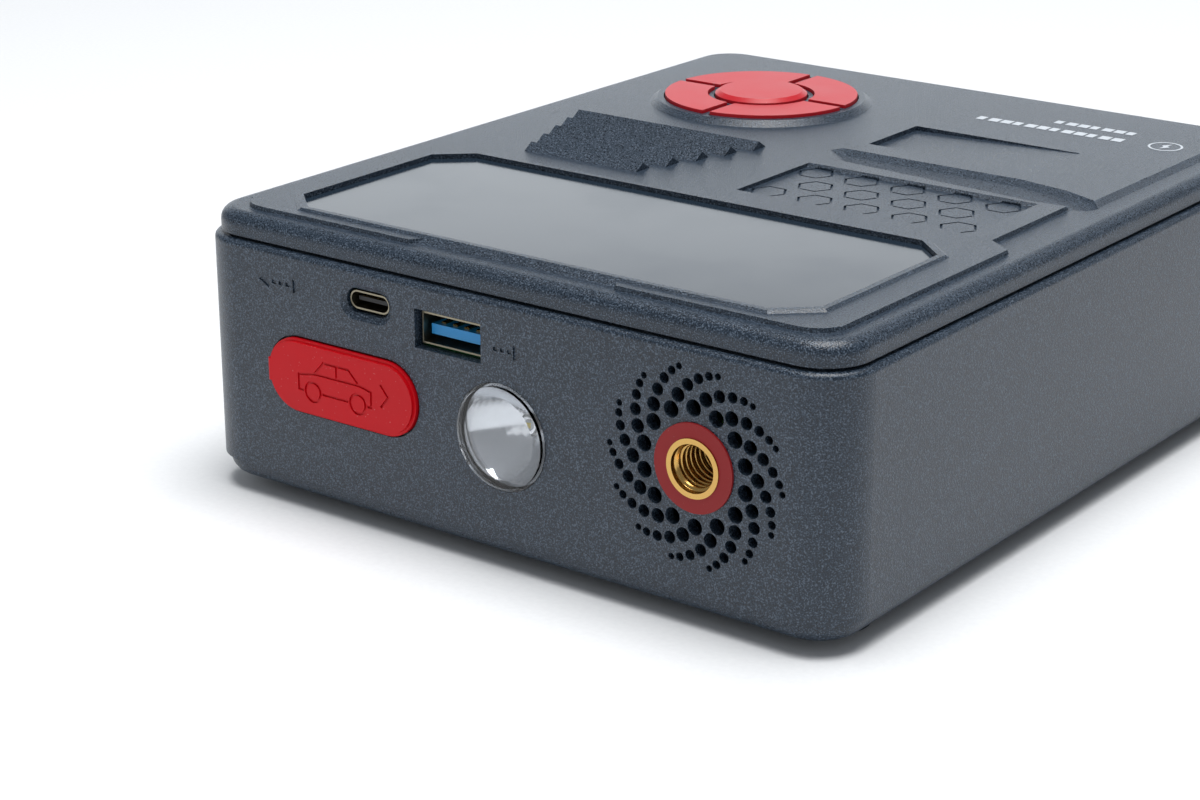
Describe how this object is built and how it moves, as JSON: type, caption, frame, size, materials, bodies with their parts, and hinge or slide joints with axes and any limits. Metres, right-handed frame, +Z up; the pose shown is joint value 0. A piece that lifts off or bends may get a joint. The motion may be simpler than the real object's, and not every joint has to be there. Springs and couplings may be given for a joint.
{
  "type": "jump starter pack",
  "caption": "Box-shaped car jump starter with built-in tyre inflator: display and key ring on top; torch, USB sockets, covered jump port and threaded air outlet on the front",
  "frame": {"origin": "centre of the bottom of the bounding box, on the plane the feet stand on", "axes": "+Z up; -Y towards the front face with the sockets and the air outlet; +X to the right seen from the front"},
  "size_m": [0.136, 0.1646, 0.055],
  "materials": {
    "case_plastic": "fine-grained matte with a faint sparkle",
    "black_plastic": "matte",
    "blue_plastic": "satin",
    "red_plastic": "satin",
    "dark_red_plastic": "matte",
    "red_rubber": "matte",
    "black_rubber": "matte",
    "gear_plastic": "satin",
    "mirror_plastic": "vacuum-metallised",
    "clear_lens": "clear",
    "smoked_window": "gloss, smoked grey",
    "ribbon_film": "satin",
    "board_laminate": "satin",
    "cell_foil": "satin foil",
    "steel": "brushed",
    "aluminium": "as cast",
    "brass": "machined"
  },
  "bodies": {
    "housing": {"case_body": "case_plastic", "top_cover": "case_plastic", "base_cover": "case_plastic", "rubber_feet": "black_rubber", "case_screws": "steel", "display_window": "smoked_window", "display_module": "black_plastic", "display_ribbon": "ribbon_film", "control_board": "board_laminate", "control_screws": "steel", "key_mat": "black_rubber", "cover_anchor": "red_rubber", "jump_socket": "blue_plastic", "jump_contacts": "brass", "jump_lead_red": "red_rubber", "jump_lead_black": "black_rubber", "usb_c_shell": "steel", "usb_c_tongue": "black_plastic", "usb_a_shell": "steel", "usb_a_tongue": "blue_plastic", "usb_a_contacts": "brass", "main_board": "board_laminate", "board_chips": "black_plastic", "board_screws": "steel", "torch_lens": "clear_lens", "torch_reflector": "mirror_plastic", "torch_led": "aluminium", "outlet_ring": "dark_red_plastic", "outlet_fitting": "brass", "air_hose": "black_rubber", "cylinder_head": "aluminium", "head_screws": "steel", "pressure_sensor": "black_plastic", "compressor_frame": "aluminium", "frame_bushes": "black_rubber", "frame_screws": "steel", "motor_can": "steel", "motor_endcap": "black_plastic", "motor_leads": "red_rubber", "gear_axle": "steel", "battery_cell_1": "cell_foil", "battery_cell_2": "cell_foil", "battery_cell_3": "cell_foil", "battery_tray": "black_plastic", "battery_pads": "black_rubber", "bms_board": "board_laminate"},
    "power_key": {"key_power": "red_plastic"},
    "front_left_key": {"key_front_left": "red_plastic"},
    "front_right_key": {"key_front_right": "red_plastic"},
    "back_right_key": {"key_back_right": "red_plastic"},
    "back_left_key": {"key_back_left": "red_plastic"},
    "cover": {"port_cover": "red_rubber"},
    "rotor": {"motor_pinion": "steel"},
    "crank": {"crank_gear": "gear_plastic"},
    "piston_set": {"piston": "aluminium", "piston_seal": "black_rubber", "wrist_pin": "steel"},
    "rod": {"con_rod": "aluminium", "crank_pin": "steel"}
  },
  "joints": [
    {"name": "power_press", "type": "slide", "parent": "housing", "child": "power_key", "axis": [0, 0, -1], "range_m": [0, 0.0006], "stiffness_N_per_m": 900},
    {"name": "front_left_press", "type": "slide", "parent": "housing", "child": "front_left_key", "axis": [0, 0, -1], "range_m": [0, 0.0006], "stiffness_N_per_m": 900},
    {"name": "front_right_press", "type": "slide", "parent": "housing", "child": "front_right_key", "axis": [0, 0, -1], "range_m": [0, 0.0006], "stiffness_N_per_m": 900},
    {"name": "back_right_press", "type": "slide", "parent": "housing", "child": "back_right_key", "axis": [0, 0, -1], "range_m": [0, 0.0006], "stiffness_N_per_m": 900},
    {"name": "back_left_press", "type": "slide", "parent": "housing", "child": "back_left_key", "axis": [0, 0, -1], "range_m": [0, 0.0006], "stiffness_N_per_m": 900},
    {"name": "cover_swing", "type": "hinge", "parent": "housing", "child": "cover", "pos_m": [-0.04945, -0.0819, 0.0256], "axis": [0, 0, -1], "range_deg": [0, 110]},
    {"name": "rotor_spin", "type": "hinge", "parent": "housing", "child": "rotor", "pos_m": [0, 0.03918, 0.0222], "axis": [1, 0, 0], "continuous": true},
    {"name": "crank_spin", "type": "hinge", "parent": "housing", "child": "crank", "pos_m": [0, 0.0165, 0.0245], "axis": [1, 0, 0], "continuous": true},
    {"name": "piston_stroke", "type": "slide", "parent": "housing", "child": "piston_set", "axis": [0, 1, 0], "range_m": [0, 0.014]},
    {"name": "rod_swing", "type": "hinge", "parent": "piston_set", "child": "rod", "pos_m": [0.0471, -0.0205, 0.0245], "axis": [1, 0, 0], "range_deg": [-13.5, 13.5]}
  ],
  "couplings": [
    {"joint": "rotor_spin", "follows": "crank_spin", "ratio": -3.75}
  ]
}
